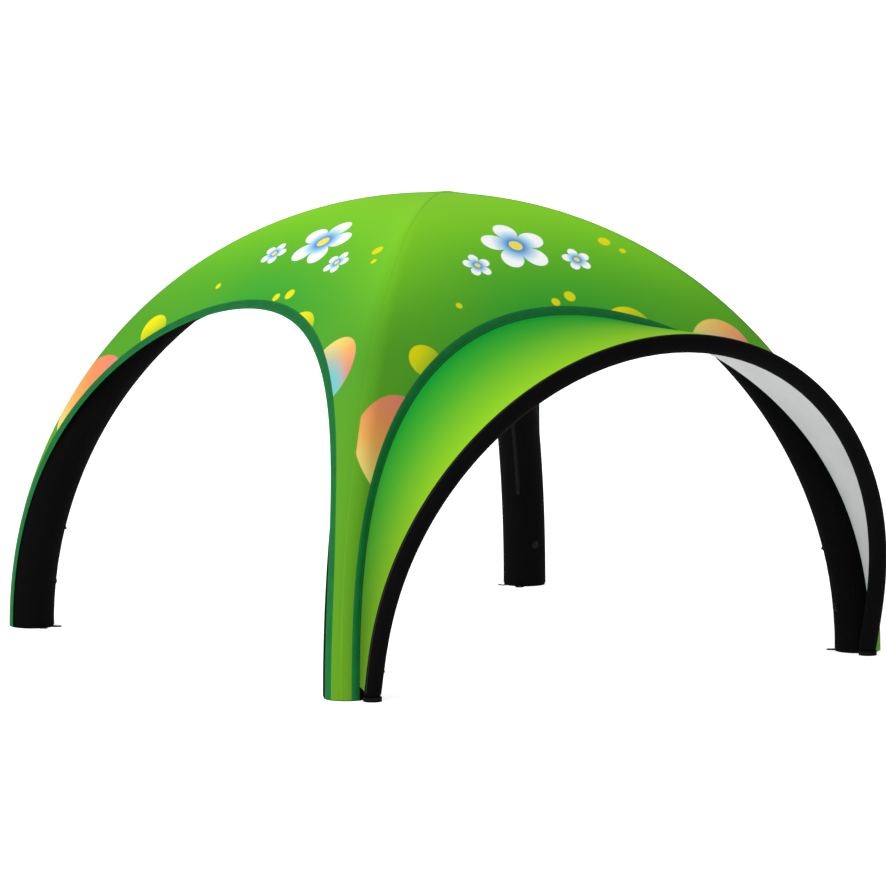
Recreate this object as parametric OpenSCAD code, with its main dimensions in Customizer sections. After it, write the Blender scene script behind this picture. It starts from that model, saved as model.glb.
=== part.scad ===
// Inflatable event tent: four air legs that cross at the crown, a canopy of
// four panels over them, and an awning on a slimmer air arch at the front.
// Millimetres. +Z is up, the awning faces -Y, and z = 0 is the ground.

/* [Tent] */
// Side of the square that the canopy's four corners stand on
footprint = 4000; // [3800:10:4200]
// Radius of the canopy's outer face around a leg's axis
skin_r = 147; // [140:1:155]
// Height of the legs' centre of curvature above the ground
leg_base_h = 14; // [12:1:20]
// Free space between a leg's sleeve and the canopy over it
skin_gap = 5; // [4:0.5:7]
// Thickness of every cloth layer
cloth_t = 2; // [1.5:0.1:2.5]
// Space between a sleeve and the air bladder in it
bladder_gap = 2; // [1:0.5:4]
// How far a panel dips in at its middle
panel_dip = 19; // [0:1:40]

/* [Openings] */
// Half the width of a side opening at the ground
door_half_w = 1893; // [1850:1:1900]
// Height of a side opening
door_h = 2168; // [2100:1:2250]
// How much the opening's sides bow out above the ground
door_bow = 0.32; // [0.2:0.01:0.4]
// How much the opening's shoulders drop
door_shoulder = 0.2; // [0.1:0.01:0.3]
// Width of the binding round an opening
binding_w = 53; // [40:1:60]
// Height of the hems above the ground
hem_h = 6; // [4:1:12]

/* [Awning] */
// Half the width of the awning arch at its feet
awning_half_w = 1835; // [1800:1:1850]
// Length of the awning arch from the ground to its top, along its slope
awning_rise = 2164; // [2000:1:2200]
// How much the arch's sides bow out above its feet
awning_bow = 0.54; // [0.4:0.01:0.6]
// How much the arch's shoulders drop
awning_shoulder = 0.52; // [0.4:0.01:0.6]
// Distance of the arch's feet from the tent's axis
awning_foot_y = 2081; // [2078:1:2100]
// Lean of the arch away from the tent
awning_lean = 13.9; // [10:0.1:16]
// Radius of the awning arch's sleeve
awning_r = 56; // [50:1:57]
// Width of the zip that joins the awning to the front opening
awning_zip_w = 14; // [10:1:18]

/* [Valves and zips] */
// Angle up a leg at which its valve sits
valve_angle = 6; // [5:0.5:8]
// Turn of a valve round its leg, away from the inner side
valve_turn = 42; // [30:1:50]
// Radius of a valve's flange
valve_flange_r = 26; // [24:1:30]
// Radius of a valve's barrel
valve_barrel_r = 18; // [16:1:20]
// Travel of a valve's plunger
plunger_travel = 6; // [4:0.5:8]
// Size of the awning's valve against a leg's
awning_valve_scale = 0.6; // [0.5:0.05:0.7]
// Lowest angle of a leg's zip
zip_from = 14; // [12:1:20]
// Highest angle of a leg's zip
zip_to = 78; // [60:1:80]
// Width of a leg's zip tape
zip_w = 24; // [20:1:30]

/* [Feet] */
// Radius of a leg's foot pad
pad_r = 136; // [120:1:138]
// Thickness of a leg's foot pad
pad_t = 8; // [6:0.5:9]
// Radius of the peg hole in a foot pad's eyelet
peg_hole_r = 6; // [5:0.5:7]
// Radius of a D-ring's bow
ring_r = 20; // [18:1:24]
// Radius of a D-ring's wire
wire_r = 2.5; // [2:0.1:3]

/* [Hidden] */
arc_fn = 360;
round_fn = 96;
hull_clear = 1;
leg_r = skin_r - cloth_t - skin_gap;
leg_axis_r = footprint / sqrt(2) - skin_r;
crown_z = leg_base_h + leg_axis_r + skin_r;
bladder_r = leg_r - cloth_t - bladder_gap;
corner_xy = leg_axis_r / sqrt(2);
back_y = corner_xy + skin_r + hull_clear;
front_y = awning_foot_y + awning_rise * sin(awning_lean) + awning_r;
// The tent's axis stands back from the origin, so that the origin is the
// middle of the whole plan, awning included.
axis_y = (front_y - back_y) / 2;

CORNERS = ["front_right", "rear_right", "rear_left", "front_left"];
CORNER_TURN = [-45, 45, 135, 225];
SIDES = ["front", "right", "rear", "left"];
PER_CORNER = ["leg_sleeve_", "leg_bladder_", "foot_pad_", "d_ring_", "leg_zip_tape_",
    "leg_zip_slider_", "valve_body_", "valve_cap_", "valve_plunger_"];
PER_SIDE = ["canopy_panel_", "opening_binding_"];
SINGLES = ["peg_eyelets", "anchor_tabs", "crown_tab", "lamp_ring", "awning_sleeve",
    "awning_bladder", "awning_canopy", "awning_zip_tape", "awning_foot_cups",
    "awning_valve_body", "awning_valve_cap", "awning_valve_plunger"];

canopy_green = "yellowgreen";
binding_green = "seagreen";
sleeve_black = "#1a1a1a";
bladder_grey = "lightgrey";
plastic_black = "#2b2b2b";
metal_grey = "silver";

// ---- the skin: the surface that is stretched over two neighbouring legs ----

// Reach of a leg's tube from the tent's axis, at e beside the leg's plane
function leg_reach(e, z, r) =
    sqrt(max(0, pow(leg_axis_r + sqrt(r * r - e * e), 2) - pow(z - leg_base_h, 2)));

// Sideways place on a leg's tube where its front view lies at x
function tube_side(x, z, r, low, high, steps) =
    let (e = (low + high) / 2)
    steps == 0 ? e
    : (leg_reach(e, z, r) - e) / sqrt(2) > x ? tube_side(x, z, r, e, high, steps - 1)
    : tube_side(x, z, r, low, e, steps - 1);

// Angle up the leg at which a flat cloth leaves the tube at height z
function leave_angle(z, r, a = 45, steps = 14) =
    steps == 0 ? a
    : leave_angle(z, r, asin(min(1, (z - leg_base_h)
        / (leg_axis_r + r / sqrt(1 + pow(cos(a), 2))))), steps - 1);

// Half width and distance of the flat stretch at height z
function flat_span(z, r) =
    let (a = leave_angle(z, r), side = atan(cos(a)))
    let (d = (leg_axis_r + r * cos(side)) * cos(a), e = r * sin(side))
    [(d - e) / sqrt(2), (d + e) / sqrt(2)];

function skin_y(x, z, r) =
    let (span = flat_span(z, r))
    abs(x) < span[0]
        ? -span[1] + panel_dip * (1 - pow(x / span[0], 2)) * sqrt(max(0, 1 - pow(z / crown_z, 2)))
        : let (e = tube_side(abs(x), z, r, 0, r, 18)) -(leg_reach(e, z, r) + e) / sqrt(2);

// ---- the edge curves, each as [x, z] for an angle t from 0 to 180 ----

function door_edge(t, wider) = [
    -(door_half_w + wider) * cos(t) * (1 + door_bow * pow(sin(t), 2)),
    hem_h + (door_h + wider - hem_h) * sin(t) * (1 - door_shoulder * pow(cos(t), 2))];

function ridge(t, r) = [
    -(leg_axis_r + r) * cos(t) / sqrt(2),
    hem_h + (leg_base_h + leg_axis_r + r - hem_h) * sin(t)];

function skin_point(xz, r) = [xz[0], skin_y(xz[0], xz[1], r), xz[1]];

// ---- closed solids from grids of points ----

// Faces of a slab: an outer and an inner grid of m by n cells
function slab_faces(m, n) =
    let (w = n + 1, inner = (m + 1) * w)
    [
        for (i = [0:m - 1]) for (j = [0:n - 1])
            let (a = i * w + j, b = a + 1, d = a + w, c = d + 1)
            each [[a, b, c], [a, c, d],
                [inner + d, inner + c, inner + b], [inner + d, inner + b, inner + a]],
        for (i = [0:m - 1]) let (a = i * w, d = a + w)
            each [[a, d, inner + d], [a, inner + d, inner + a]],
        for (i = [0:m - 1]) let (b = i * w + n, c = b + w)
            each [[c, b, inner + b], [c, inner + b, inner + c]],
        for (j = [0:n - 1]) let (a = j, b = a + 1)
            each [[b, a, inner + a], [b, inner + a, inner + b]],
        for (j = [0:n - 1]) let (d = m * w + j, c = d + 1)
            each [[d, c, inner + c], [d, inner + c, inner + d]]
    ];

// A strip of the skin between two edge curves, cloth_t thick
module skin_strip(columns, rows, low_wider, high_wider, to_ridge = false) {
    shells = [skin_r, skin_r - cloth_t];
    points = [
        for (r = shells) for (i = [0:columns]) for (j = [0:rows])
            let (t = 180 * i / columns, v = 1 - pow(1 - j / rows, 1.4))
            let (low = door_edge(t, low_wider))
            let (high = to_ridge ? ridge(t, r) : door_edge(t, high_wider))
            skin_point(low * (1 - v) + high * v, r)];
    polyhedron(points = points, faces = slab_faces(columns, rows), convexity = 8);
}

// Puts a side's strip in place; each side stands clear of its neighbours
module on_side(i) {
    translate([0, axis_y, 0]) rotate([0, 0, 90 * i]) translate([0, -hull_clear, 0]) children();
}

module canopy_panel(i) {
    color(canopy_green) on_side(i) skin_strip(48, 10, binding_w + hull_clear, 0, true);
}

module opening_binding(i) {
    // The front binding leaves room for the awning's zip.
    inner = i == 0 ? awning_zip_w + hull_clear : 0;
    color(binding_green) on_side(i) skin_strip(48, 2, inner, binding_w);
}

module awning_zip_tape() {
    color(binding_green) on_side(0) skin_strip(48, 1, 0, awning_zip_w);
}

// ---- legs ----

// Puts children in a leg's own frame: +X from the tent's axis to the leg
module on_corner(i) {
    translate([0, axis_y, 0]) rotate([0, 0, CORNER_TURN[i]]) children();
}

// A ring section swept along the leg's arc between two angles
module along_leg(from, to) {
    translate([0, 0, leg_base_h]) rotate([90, 0, 0]) rotate([0, 0, from])
        rotate_extrude(angle = to - from, $fn = arc_fn) children();
}

// Puts children at the valve's place on a leg's face, +Z out of the face
module at_valve() {
    translate([0, 0, leg_base_h]) rotate([0, -valve_angle, 0]) translate([leg_axis_r, 0, 0])
        rotate([0, 0, valve_turn]) translate([-leg_r, 0, 0]) rotate([0, -90, 0]) children();
}

module leg_tube(r, foot_z, clear) {
    intersection() {
        union() {
            along_leg(0, 90) translate([leg_axis_r, 0])
                difference() {
                    circle(r = r, $fn = round_fn);
                    circle(r = r - cloth_t, $fn = round_fn);
                }
            translate([leg_axis_r, 0, foot_z]) difference() {
                cylinder(r = r, h = leg_base_h - foot_z, $fn = round_fn);
                translate([0, 0, cloth_t])
                    cylinder(r = r - cloth_t, h = leg_base_h, $fn = round_fn);
            }
        }
        // The four tubes meet along mitred seams at the crown.
        rotate([0, 0, -45]) translate([clear, clear, 0]) cube(2 * footprint);
    }
}

module leg_sleeve(i) {
    color(sleeve_black) on_corner(i) difference() {
        leg_tube(leg_r, pad_t + 0.5, 0.5);
        at_valve() translate([0, 0, -30])
            cylinder(r = valve_barrel_r + 1, h = 40, $fn = round_fn);
    }
}

module leg_bladder(i) {
    color(bladder_grey) on_corner(i) difference() {
        leg_tube(bladder_r, pad_t + cloth_t + 1, 0.5);
        at_valve() translate([0, 0, -30])
            cylinder(r = valve_barrel_r + 0.5, h = 40, $fn = round_fn);
    }
}

// ---- leg zips ----

zip_tape_t = 1.2;
zip_teeth_w = 6;
zip_teeth_t = 2;
slider_clear = 0.4;
slider_wall = 1.6;
slider_span = 0.5;

module leg_zip_tape(i) {
    face = leg_axis_r - leg_r - 0.5;
    color(plastic_black) on_corner(i) along_leg(zip_from, zip_to) union() {
        translate([face - zip_tape_t, -zip_w / 2]) square([zip_tape_t, zip_w]);
        translate([face - zip_tape_t - zip_teeth_t, -zip_teeth_w / 2])
            square([zip_teeth_t + 0.1, zip_teeth_w]);
    }
}

module leg_zip_slider(i) {
    tape_face = leg_axis_r - leg_r - 0.5 - zip_tape_t - slider_clear;
    depth = zip_teeth_t + slider_wall;
    inside_w = zip_teeth_w + 2 * slider_clear;
    outside_w = inside_w + 2 * slider_wall;
    tab_from = zip_from + 0.15;
    color(metal_grey) on_corner(i) {
        along_leg(zip_from + 0.1, zip_from + 0.1 + slider_span) difference() {
            translate([tape_face - depth, -outside_w / 2]) square([depth, outside_w]);
            translate([tape_face - zip_teeth_t, -inside_w / 2]) square([zip_teeth_t + 1, inside_w]);
        }
        // The pull tab stands on the slider's back.
        along_leg(tab_from, tab_from + 0.3) translate([tape_face - depth - 7, -2])
            square([7.1, 4]);
    }
}

// ---- valves, drawn on +Z out of the tube's face ----

valve_bore_r = 13;
valve_neck_r = 16;
valve_neck_h = 11;
flange_from = 0.5;
flange_t = 4;
barrel_depth = 22;
guide_from = -12;
guide_t = 3;
stem_r = 3;
poppet_r = 16;
cap_wall = 3;

module valve_body_shape() {
    difference() {
        union() {
            translate([0, 0, flange_from]) cylinder(r = valve_flange_r, h = flange_t, $fn = round_fn);
            translate([0, 0, -barrel_depth])
                cylinder(r = valve_barrel_r, h = barrel_depth + flange_from + 1, $fn = round_fn);
            translate([0, 0, flange_from])
                cylinder(r = valve_neck_r, h = valve_neck_h - flange_from, $fn = round_fn);
        }
        translate([0, 0, -barrel_depth - 1])
            cylinder(r = valve_bore_r, h = barrel_depth + valve_neck_h + 2, $fn = round_fn);
    }
    // A pierced plate guides the plunger's stem.
    translate([0, 0, guide_from]) difference() {
        cylinder(r = valve_bore_r + 1, h = guide_t, $fn = round_fn);
        translate([0, 0, -1]) cylinder(r = stem_r + 0.1, h = guide_t + 2, $fn = round_fn);
        for (turn = [0:90:270]) rotate([0, 0, turn]) translate([9, 0, -1])
            cylinder(r = 3, h = guide_t + 2, $fn = 48);
    }
}

module valve_plunger_shape() {
    translate([0, 0, -barrel_depth - 3]) cylinder(r = poppet_r, h = 2.7, $fn = round_fn);
    translate([0, 0, -barrel_depth - 1]) cylinder(r = stem_r, h = barrel_depth + 7, $fn = round_fn);
    translate([0, 0, 4]) cylinder(r = stem_r + 3, h = 3, $fn = round_fn);
}

module valve_cap_shape() {
    skirt_from = flange_from + flange_t + 0.5;
    roof = valve_neck_h + 0.5;
    difference() {
        translate([0, 0, skirt_from])
            cylinder(r = valve_neck_r + 0.5 + cap_wall, h = roof - skirt_from + 2.5, $fn = round_fn);
        translate([0, 0, skirt_from - 1])
            cylinder(r = valve_neck_r + 0.5, h = roof - skirt_from + 1, $fn = round_fn);
    }
    translate([-15, -2.5, roof + 2]) cube([30, 5, 5]);
}

module on_leg_valve(i) {
    on_corner(i) at_valve() children();
}

module valve_body(i) {
    color(plastic_black) on_leg_valve(i) valve_body_shape();
}

module valve_cap(i) {
    color(plastic_black) on_leg_valve(i) valve_cap_shape();
}

module valve_plunger(i) {
    color("dimgrey") on_leg_valve(i) valve_plunger_shape();
}

// ---- feet ----

ear_t = 5;
ear_r = 28;
eyelet_out = 30;
eyelet_barrel_r = peg_hole_r + 2;
tab_turn = 130;
tab_len = 40;
tab_w = 32;
loop_r = 5;
loop_out = pad_r + tab_len + 4;
loop_z = 5.2;

module foot_pad(i) {
    color(plastic_black) on_corner(i) translate([leg_axis_r, 0, 0]) difference() {
        union() {
            cylinder(r = pad_r, h = pad_t, $fn = arc_fn);
            translate([-pad_r - eyelet_out, 0, 0]) cylinder(r = ear_r, h = ear_t, $fn = round_fn);
            translate([-pad_r - eyelet_out, -ear_r, 0])
                cube([eyelet_out + 10, 2 * ear_r, ear_t]);
        }
        translate([-pad_r - eyelet_out, 0, -1])
            cylinder(r = eyelet_barrel_r + 0.2, h = ear_t + 2, $fn = round_fn);
    }
}

module peg_eyelets() {
    color("darkgoldenrod") for (i = [0:3]) on_corner(i)
        translate([leg_axis_r - pad_r - eyelet_out, 0, 0.5]) difference() {
            union() {
                cylinder(r = eyelet_barrel_r, h = ear_t, $fn = round_fn);
                translate([0, 0, ear_t - 0.3])
                    cylinder(r = eyelet_barrel_r + 5, h = 1.3, $fn = round_fn);
            }
            translate([0, 0, -1]) cylinder(r = peg_hole_r, h = ear_t + 3, $fn = round_fn);
        }
}

// Puts children at a foot's ring tab, +X out of the pad
module on_ring_tab(i) {
    on_corner(i) translate([leg_axis_r, 0, 0]) rotate([0, 0, tab_turn]) children();
}

module anchor_tabs() {
    color(sleeve_black) for (i = [0:3]) on_ring_tab(i) difference() {
        union() {
            translate([pad_r + 0.5, -tab_w / 2, 1]) cube([loop_out - pad_r - 0.5, tab_w, 2.5]);
            translate([loop_out, -tab_w / 2, loop_z]) rotate([-90, 0, 0])
                cylinder(r = loop_r, h = tab_w, $fn = round_fn);
        }
        translate([loop_out, -tab_w, loop_z]) rotate([-90, 0, 0])
            cylinder(r = wire_r + 0.5, h = 2 * tab_w, $fn = round_fn);
    }
}

// A bar along Y with a half-round bow on +X
module d_ring_shape() {
    translate([0, -ring_r, 0]) rotate([-90, 0, 0]) cylinder(r = wire_r, h = 2 * ring_r, $fn = round_fn);
    rotate([0, 0, -90]) rotate_extrude(angle = 180, $fn = round_fn)
        translate([ring_r, 0]) circle(r = wire_r, $fn = 48);
    for (y = [-ring_r, ring_r]) translate([0, y, 0]) sphere(r = wire_r, $fn = 48);
}

module d_ring(i) {
    color(metal_grey) on_ring_tab(i) translate([loop_out, 0, loop_z]) d_ring_shape();
}

// ---- lamp ring under the crown ----

crown_face_z = leg_base_h + leg_axis_r - leg_r;
lamp_loop_z = crown_face_z - 16;

module crown_tab() {
    color(sleeve_black) translate([0, axis_y, 0]) difference() {
        union() {
            translate([-45, -45, crown_face_z - 4]) cube([90, 90, 2.5]);
            translate([-tab_w / 2, -1.5, lamp_loop_z]) cube([tab_w, 3, crown_face_z - 3 - lamp_loop_z]);
            translate([-tab_w / 2, 0, lamp_loop_z]) rotate([0, 90, 0])
                cylinder(r = loop_r, h = tab_w, $fn = round_fn);
        }
        translate([-tab_w, 0, lamp_loop_z]) rotate([0, 90, 0])
            cylinder(r = wire_r + 0.5, h = 2 * tab_w, $fn = round_fn);
    }
}

module lamp_ring() {
    color(metal_grey) translate([0, axis_y, lamp_loop_z]) rotate([0, 90, 90]) d_ring_shape();
}

// ---- awning ----

// Puts children in the arch's plane: +X sideways, +Y up the slope
module on_awning_plane() {
    translate([0, axis_y - awning_foot_y, 0]) rotate([90 + awning_lean, 0, 0]) children();
}

function arch_point(t) = [
    -awning_half_w * cos(t) * (1 + awning_bow * pow(sin(t), 2)),
    awning_rise * sin(t) * (1 - awning_shoulder * pow(cos(t), 2)), 0];

function unit(v) = v / norm(v);
function arch_along(t) = unit(arch_point(t + 0.1) - arch_point(t - 0.1));
function arch_out(t) = let (along = arch_along(t)) [-along[1], along[0], 0];

foot_ball_z = awning_r + 6;
// The tube starts where its round end stands in its cup.
tube_from = asin(foot_ball_z / cos(awning_lean) / (awning_rise * (1 - awning_shoulder)));
tube_to = 180 - tube_from;
arch_steps = 44;

// A tube of radius r along the arch, with round ends
module arch_tube(r, sides, steps) {
    end_turns = [84, 60, 35, 15];
    ends = len(end_turns);
    stations = concat(
        [for (turn = end_turns) [tube_from, -turn]],
        [for (i = [0:steps]) [tube_from + (tube_to - tube_from) * i / steps, 0]],
        [for (i = [1:ends]) [tube_to, end_turns[ends - i]]]);
    points = [for (s = stations) for (k = [0:sides - 1])
        arch_point(s[0]) + arch_along(s[0]) * r * sin(s[1])
            + r * cos(s[1]) * (cos(360 * k / sides) * arch_out(s[0]) + [0, 0, sin(360 * k / sides)])];
    last = len(stations) - 1;
    faces = concat(
        [for (i = [0:last - 1]) for (k = [0:sides - 1])
            let (a = i * sides + k, b = i * sides + (k + 1) % sides)
            each [[a, a + sides, b + sides], [a, b + sides, b]]],
        [[for (k = [0:sides - 1]) k]],
        [[for (k = [0:sides - 1]) last * sides + sides - 1 - k]]);
    polyhedron(points = points, faces = faces, convexity = 8);
}

awning_valve_t = 10;

// Puts children on the arch's inner side by its left foot, +Z into the arch
module on_awning_valve(size = 1) {
    place = arch_point(awning_valve_t);
    inward = -arch_out(awning_valve_t);
    on_awning_plane() translate(place) rotate([0, 0, atan2(inward[1], inward[0])])
        translate([awning_r, 0, 0]) rotate([0, 90, 0]) scale(size) children();
}

module awning_valve_hole() {
    on_awning_valve(awning_valve_scale) translate([0, 0, -30])
        cylinder(r = valve_barrel_r + 1, h = 40, $fn = 24);
}

module awning_sleeve() {
    color(sleeve_black) difference() {
        on_awning_plane() difference() {
            arch_tube(awning_r, 14, arch_steps);
            arch_tube(awning_r - cloth_t, 14, arch_steps);
        }
        awning_valve_hole();
    }
}

module awning_bladder() {
    color(bladder_grey) difference() {
        on_awning_plane() difference() {
            arch_tube(awning_r - 2 * cloth_t, 10, arch_steps);
            arch_tube(awning_r - 3 * cloth_t, 10, arch_steps);
        }
        awning_valve_hole();
    }
}

// The cloth leaves the tube where a line from the opening's edge touches it.
function on_plane_point(p) = [p[0],
    axis_y - awning_foot_y - p[1] * sin(awning_lean) - p[2] * cos(awning_lean),
    p[1] * cos(awning_lean) - p[2] * sin(awning_lean)];
function plane_turn(p) = [p[0],
    -p[1] * sin(awning_lean) - p[2] * cos(awning_lean),
    p[1] * cos(awning_lean) - p[2] * sin(awning_lean)];

function door_partner(t) = t - 8.5 * sin(2 * t);

function canopy_near(t) =
    let (p = skin_point(door_edge(door_partner(t), -2), skin_r)) p + [0, axis_y - hull_clear, 0];

function canopy_far(t, r) =
    let (centre = on_plane_point(arch_point(t)))
    let (out = plane_turn(arch_out(t)), back = plane_turn([0, 0, -1]))
    let (to_near = canopy_near(t) - centre)
    let (u = to_near * out, w = to_near * back)
    let (angle = atan2(u, w) + acos(min(1, r / norm([u, w]))))
    centre + r * (out * sin(angle) + back * cos(angle));

module awning_canopy() {
    columns = 48;
    rows = 5;
    cloth_from = 6;
    points = [
        for (r = [awning_r + 4 + cloth_t, awning_r + 4]) for (i = [0:columns]) for (j = [0:rows])
            let (t = cloth_from + (180 - 2 * cloth_from) * i / columns, v = 1 - j / rows)
            let (lift = [0, 0, r - awning_r - 4 - cloth_t])
            (canopy_near(t) + lift) * (1 - v) + canopy_far(t, r) * v];
    color(canopy_green) polyhedron(points = points, faces = slab_faces(columns, rows), convexity = 8);
}

module awning_foot_cups() {
    color(plastic_black) for (side = [-1, 1])
        translate([side * awning_half_w, axis_y - awning_foot_y - foot_ball_z * tan(awning_lean), 0])
            difference() {
                cylinder(r = awning_r + 1, h = 28, $fn = round_fn);
                translate([0, 0, foot_ball_z]) sphere(r = awning_r + 0.8, $fn = round_fn);
            }
}

module awning_valve_body() {
    color(plastic_black) on_awning_valve(awning_valve_scale) valve_body_shape();
}

module awning_valve_cap() {
    color(plastic_black) on_awning_valve(awning_valve_scale) valve_cap_shape();
}

module awning_valve_plunger() {
    color("dimgrey") on_awning_valve(awning_valve_scale) valve_plunger_shape();
}

for (i = [0:3]) {
    c = CORNERS[i];
    s = SIDES[i];
    leg_sleeve(i);
    leg_bladder(i);
    foot_pad(i);
    d_ring(i);
    leg_zip_tape(i);
    leg_zip_slider(i);
    valve_body(i);
    valve_cap(i);
    valve_plunger(i);
    canopy_panel(i);
    opening_binding(i);
}
peg_eyelets();
anchor_tabs();
crown_tab();
lamp_ring();
awning_sleeve();
awning_bladder();
awning_canopy();
awning_zip_tape();
awning_foot_cups();
awning_valve_body();
awning_valve_cap();
awning_valve_plunger();
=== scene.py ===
"""Looks for the inflatable event tent: printed canopy, bindings, air-filled legs and awning."""
import math

import bmesh
import bpy
import numpy as np
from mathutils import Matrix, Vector


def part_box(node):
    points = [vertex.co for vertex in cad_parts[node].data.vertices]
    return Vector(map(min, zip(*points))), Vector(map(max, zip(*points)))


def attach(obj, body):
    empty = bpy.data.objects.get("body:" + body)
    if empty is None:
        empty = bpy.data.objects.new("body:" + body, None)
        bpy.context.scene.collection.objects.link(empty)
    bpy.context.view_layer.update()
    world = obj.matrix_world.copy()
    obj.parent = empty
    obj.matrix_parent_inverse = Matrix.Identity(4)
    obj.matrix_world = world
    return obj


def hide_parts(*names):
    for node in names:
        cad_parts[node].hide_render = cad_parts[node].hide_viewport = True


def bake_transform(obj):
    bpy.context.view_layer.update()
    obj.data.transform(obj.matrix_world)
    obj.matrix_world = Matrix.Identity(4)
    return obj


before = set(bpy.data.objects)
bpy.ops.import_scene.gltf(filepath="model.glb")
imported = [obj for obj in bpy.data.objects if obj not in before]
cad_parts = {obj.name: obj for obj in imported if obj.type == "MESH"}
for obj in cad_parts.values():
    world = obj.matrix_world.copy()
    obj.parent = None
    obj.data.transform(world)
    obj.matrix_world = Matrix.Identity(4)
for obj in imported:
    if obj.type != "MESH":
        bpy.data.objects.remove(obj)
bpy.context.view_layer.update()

# ---- driving dimensions, in metres: the ones that the CAD part is drawn with ----
FOOTPRINT = 4.0
SKIN_R = 0.147
LEG_BASE = 0.014
CLOTH = 0.0012
PANEL_DIP = 0.019
DOOR_HALF_W = 1.893
DOOR_H = 2.168
DOOR_BOW = 0.32
DOOR_SHOULDER = 0.2
BINDING_W = 0.053
HEM = 0.006
AWNING_HALF_W = 1.835
AWNING_RISE = 2.164
AWNING_BOW = 0.54
AWNING_SHOULDER = 0.52
AWNING_FOOT_Y = 2.081
AWNING_LEAN = math.radians(13.9)
AWNING_R = 0.056
SIDE_GAP = 0.001
LEG_R = 0.140

LEG_AXIS_R = FOOTPRINT / math.sqrt(2) - SKIN_R
CROWN_Z = LEG_BASE + LEG_AXIS_R + SKIN_R
ARCH_BASE_Z = AWNING_R + 0.006
crown_low, crown_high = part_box("crown_tab")
AXIS_Y = (crown_low.y + crown_high.y) / 2
PAD_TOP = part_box("foot_pad_front_left")[1].z

SIDES = ["front", "right", "rear", "left"]
CORNERS = ["front_right", "rear_right", "rear_left", "front_left"]
CORNER_TURN = [-45, 45, 135, 225]


# ---- the skin over two neighbouring legs, for arrays of points ----

def leg_reach(e, z, r):
    """How far a leg's tube reaches from the tent's axis, at e beside the leg's plane."""
    across = LEG_AXIS_R + np.sqrt(np.maximum(r * r - e * e, 0))
    return np.sqrt(np.maximum(across ** 2 - (z - LEG_BASE) ** 2, 0))


def flat_span(z, r):
    """Half width and distance of the stretch of cloth that touches neither leg."""
    a = np.full_like(z, math.pi / 4)
    for _ in range(20):
        side = (z - LEG_BASE) / (LEG_AXIS_R + r / np.sqrt(1 + np.cos(a) ** 2))
        a = np.arcsin(np.clip(side, -1, 1))
    lean = np.arctan(np.cos(a))
    d = (LEG_AXIS_R + r * np.cos(lean)) * np.cos(a)
    e = r * np.sin(lean)
    return (d - e) / math.sqrt(2), (d + e) / math.sqrt(2)


def skin_y(x, z, r):
    """The front panel's y at x and z, for a skin that lies at r round the legs' axes."""
    half, distance = flat_span(z, r)
    low, high = np.zeros_like(x), r * np.ones_like(x)
    for _ in range(30):
        e = (low + high) / 2
        more = (leg_reach(e, z, r) - e) / math.sqrt(2) > np.abs(x)
        low, high = np.where(more, e, low), np.where(more, high, e)
    on_tube = -(leg_reach(e, z, r) + e) / math.sqrt(2)
    share = np.clip(1 - (x / np.maximum(half, 1e-6)) ** 2, 0, 1)
    fade = np.sqrt(np.clip(1 - (z / CROWN_Z) ** 2, 0, 1))
    return np.where(np.abs(x) < half, -distance + PANEL_DIP * share * fade, on_tube)


def door_edge(t, wider):
    """The opening's edge as (x, z) for angles t from 0 to pi, moved out by wider."""
    x = -(DOOR_HALF_W + wider) * np.cos(t) * (1 + DOOR_BOW * np.sin(t) ** 2)
    z = HEM + (DOOR_H + wider - HEM) * np.sin(t) * (1 - DOOR_SHOULDER * np.cos(t) ** 2)
    return x, z


def ridge_line(t, r):
    reach = LEG_AXIS_R + r
    return -reach * np.cos(t) / math.sqrt(2), HEM + (LEG_BASE + reach - HEM) * np.sin(t)


def skin_points(x, z, r):
    return np.stack([x, skin_y(x, z, r), z], -1)


def turned(points, degrees):
    """Points turned about the vertical, then moved to the tent's axis."""
    a = math.radians(degrees)
    x, y, z = points[..., 0], points[..., 1], points[..., 2]
    return np.stack([x * math.cos(a) - y * math.sin(a),
                     x * math.sin(a) + y * math.cos(a) + AXIS_Y, z], -1)


def on_side(points, i):
    return turned(points - np.array([0, SIDE_GAP, 0]), 90 * i)


# ---- mesh helpers ----
SHARP_FROM = math.radians(40)


def new_mesh(name, points, faces, materials, slots=None, **maps):
    """A smooth-shaded closed mesh; each map is a vector per point that materials read."""
    mesh = bpy.data.meshes.new(name)
    mesh.from_pydata(np.asarray(points, float).reshape(-1, 3).tolist(), [], faces)
    for m in materials:
        mesh.materials.append(m)
    if slots is not None:
        mesh.polygons.foreach_set("material_index", slots)
    for key, values in maps.items():
        attribute = mesh.attributes.new(key, "FLOAT_VECTOR", "POINT")
        attribute.data.foreach_set("vector", np.asarray(values, np.float32).ravel())
    work = bmesh.new()
    work.from_mesh(mesh)
    bmesh.ops.recalc_face_normals(work, faces=work.faces)
    work.to_mesh(mesh)
    work.free()
    mesh.shade_smooth()
    mesh.set_sharp_from_angle(angle=SHARP_FROM)
    obj = bpy.data.objects.new(name, mesh)
    bpy.context.scene.collection.objects.link(obj)
    return obj


def grid_faces(m, n, start=0, wrap=False):
    """Quads over a grid of m by n points; wrap joins the last column to the first."""
    i, j = np.meshgrid(np.arange(m - 1), np.arange(n if wrap else n - 1), indexing="ij")
    k = (j + 1) % n
    quads = np.stack([i * n + j, i * n + k, (i + 1) * n + k, (i + 1) * n + j], -1)
    return (quads.reshape(-1, 4) + start).tolist()


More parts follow.
